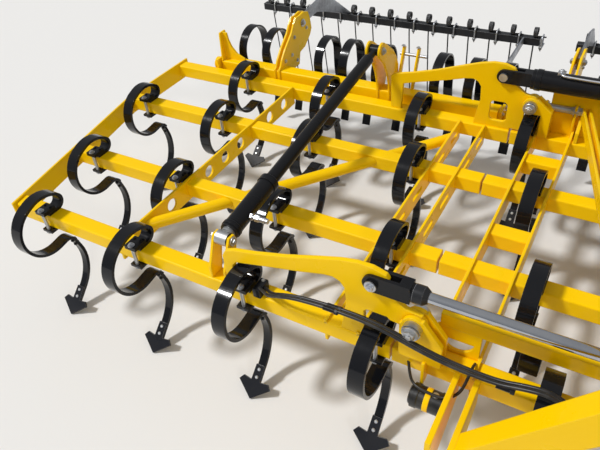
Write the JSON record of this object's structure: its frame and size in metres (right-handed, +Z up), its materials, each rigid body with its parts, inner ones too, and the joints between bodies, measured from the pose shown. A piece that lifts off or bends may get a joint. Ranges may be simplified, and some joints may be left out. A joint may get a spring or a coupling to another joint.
{
  "type": "field cultivator",
  "caption": "Tractor-mounted field cultivator with looped spring tines on a folding frame, hydraulic fold cylinders, levelling hoops and a wire rake, standing spread on its shares.",
  "frame": {"origin": "on the floor, under the middle of the machine's width and length", "axes": "+X to the machine's left, across the direction of travel; +Y backwards, away from the tractor; +Z up"},
  "size_m": [6.156, 3.1895, 1.235],
  "materials": {
    "amber_paint": "gloss amber-yellow paint",
    "black_spring_steel": "gloss black paint",
    "black_paint": "satin black paint",
    "zinc": "zinc-plated",
    "chrome_rod": "hard chrome",
    "galvanised": "hot-dip galvanised",
    "dark_grey": "dark grey paint",
    "black_plastic": "matt",
    "share_steel": "black paint"
  },
  "bodies": {
    "centre": {"centre_beams": "amber_paint", "centre_hinge_lugs": "amber_paint", "centre_hinge_pins": "zinc", "centre_plates": "amber_paint", "centre_shares": "share_steel", "centre_tine_clamps": "black_paint", "centre_tines": "black_spring_steel", "front_tie": "amber_paint", "headstock_plates": "amber_paint", "manual_tube": "black_plastic", "mast": "amber_paint", "mast_stays": "amber_paint", "rear_tie": "amber_paint"},
    "wing_right": {"wing_right_beams": "amber_paint", "wing_right_brace": "amber_paint", "wing_right_fold_pin": "zinc", "wing_right_levers": "amber_paint", "wing_right_plates": "amber_paint", "wing_right_shares": "share_steel", "wing_right_tine_clamps": "black_paint", "wing_right_tines": "black_spring_steel"},
    "wing_left": {"wing_left_beams": "amber_paint", "wing_left_brace": "amber_paint", "wing_left_fold_pin": "zinc", "wing_left_levers": "amber_paint", "wing_left_plates": "amber_paint", "wing_left_shares": "share_steel", "wing_left_tine_clamps": "black_paint", "wing_left_tines": "black_spring_steel"},
    "centre_levelling": {"centre_levelling_tube": "amber_paint", "centre_hoop_carrier": "black_paint", "centre_hoops": "black_spring_steel", "centre_rake_bar": "dark_grey", "centre_rake_wires": "dark_grey", "centre_rake_arms": "galvanised"},
    "centre_strut_barrel": {"centre_strut_barrel": "black_paint"},
    "centre_strut_rod": {"centre_strut_rod": "black_paint"},
    "wing_right_levelling": {"wing_right_levelling_tube": "amber_paint", "wing_right_hoop_carrier": "black_paint", "wing_right_hoops": "black_spring_steel", "wing_right_rake_bar": "dark_grey", "wing_right_rake_wires": "dark_grey", "wing_right_rake_arms": "galvanised"},
    "wing_right_strut_barrel": {"wing_right_strut_barrel": "black_paint"},
    "wing_right_strut_rod": {"wing_right_strut_rod": "black_paint"},
    "wing_left_levelling": {"wing_left_levelling_tube": "amber_paint", "wing_left_hoop_carrier": "black_paint", "wing_left_hoops": "black_spring_steel", "wing_left_rake_bar": "dark_grey", "wing_left_rake_wires": "dark_grey", "wing_left_rake_arms": "galvanised"},
    "wing_left_strut_barrel": {"wing_left_strut_barrel": "black_paint"},
    "wing_left_strut_rod": {"wing_left_strut_rod": "black_paint"},
    "front_barrel": {"front_fold_barrel": "black_paint"},
    "front_rod": {"front_fold_rod": "chrome_rod", "front_fold_fork": "black_paint"},
    "rear_barrel": {"rear_fold_barrel": "black_paint"},
    "rear_rod": {"rear_fold_rod": "chrome_rod", "rear_fold_fork": "black_paint"}
  },
  "joints": [
    {"name": "wing_right_fold", "type": "hinge", "parent": "centre", "child": "wing_right", "pos_m": [-0.685, 0, 0.81], "axis": [0, 1, 0], "range_deg": [0, 90]},
    {"name": "wing_left_fold", "type": "hinge", "parent": "centre", "child": "wing_left", "pos_m": [0.685, 0, 0.81], "axis": [0, -1, 0], "range_deg": [0, 90]},
    {"name": "front_barrel_pivot", "type": "hinge", "parent": "wing_left", "child": "front_barrel", "pos_m": [0.842, -1.27975, 0.948], "axis": [0, -1, 0], "range_deg": [-90, 0]},
    {"name": "front_rod_slide", "type": "slide", "parent": "front_barrel", "child": "front_rod", "axis": [1, 0, 0], "range_m": [0, 0.5905]},
    {"name": "rear_barrel_pivot", "type": "hinge", "parent": "wing_right", "child": "rear_barrel", "pos_m": [-0.842, 0.34025, 0.948], "axis": [0, 1, 0], "range_deg": [-90, 0]},
    {"name": "rear_rod_slide", "type": "slide", "parent": "rear_barrel", "child": "rear_rod", "axis": [-1, 0, 0], "range_m": [0, 0.5905]},
    {"name": "centre_levelling_lift", "type": "hinge", "parent": "centre", "child": "centre_levelling", "pos_m": [0, 0.47025, 0.635], "axis": [1, 0, 0], "range_deg": [0, 7]},
    {"name": "centre_strut_pivot", "type": "hinge", "parent": "centre", "child": "centre_strut_barrel", "pos_m": [0, -1.09975, 0.685], "axis": [1, 0, 0], "range_deg": [-0.5, 0.69]},
    {"name": "centre_strut_slide", "type": "slide", "parent": "centre_strut_barrel", "child": "centre_strut_rod", "axis": [0, -0.997, -0.0774], "range_m": [0, 0.0218]},
    {"name": "wing_right_levelling_lift", "type": "hinge", "parent": "wing_right", "child": "wing_right_levelling", "pos_m": [-1.555, 0.47025, 0.635], "axis": [1, 0, 0], "range_deg": [0, 7]},
    {"name": "wing_right_strut_pivot", "type": "hinge", "parent": "wing_right", "child": "wing_right_strut_barrel", "pos_m": [-1.555, -1.20575, 0.81], "axis": [1, 0, 0], "range_deg": [-1.16, 0.5]},
    {"name": "wing_right_strut_slide", "type": "slide", "parent": "wing_right_strut_barrel", "child": "wing_right_strut_rod", "axis": [0, -0.9933, -0.1153], "range_m": [0, 0.0443]},
    {"name": "wing_left_levelling_lift", "type": "hinge", "parent": "wing_left", "child": "wing_left_levelling", "pos_m": [1.555, 0.47025, 0.635], "axis": [1, 0, 0], "range_deg": [0, 7]},
    {"name": "wing_left_strut_pivot", "type": "hinge", "parent": "wing_left", "child": "wing_left_strut_barrel", "pos_m": [1.555, -1.20575, 0.81], "axis": [1, 0, 0], "range_deg": [-1.16, 0.5]},
    {"name": "wing_left_strut_slide", "type": "slide", "parent": "wing_left_strut_barrel", "child": "wing_left_strut_rod", "axis": [0, -0.9933, -0.1153], "range_m": [0, 0.0443]}
  ],
  "couplings": [
    {"joint": "wing_left_fold", "follows": "wing_right_fold", "ratio": 1},
    {"joint": "front_barrel_pivot", "follows": "wing_right_fold", "ratio": -1},
    {"joint": "front_rod_slide", "follows": "wing_right_fold", "m_per_rad": 0.37561},
    {"joint": "rear_barrel_pivot", "follows": "wing_right_fold", "ratio": -1},
    {"joint": "rear_rod_slide", "follows": "wing_right_fold", "m_per_rad": 0.37561},
    {"joint": "centre_strut_pivot", "follows": "centre_levelling_lift", "ratio": 0.026881},
    {"joint": "centre_strut_slide", "follows": "centre_levelling_lift", "m_per_rad": 0.17414},
    {"joint": "wing_right_strut_pivot", "follows": "wing_right_levelling_lift", "ratio": -0.094818},
    {"joint": "wing_right_strut_slide", "follows": "wing_right_levelling_lift", "m_per_rad": 0.35816},
    {"joint": "wing_left_strut_pivot", "follows": "wing_left_levelling_lift", "ratio": -0.094818},
    {"joint": "wing_left_strut_slide", "follows": "wing_left_levelling_lift", "m_per_rad": 0.35816}
  ]
}
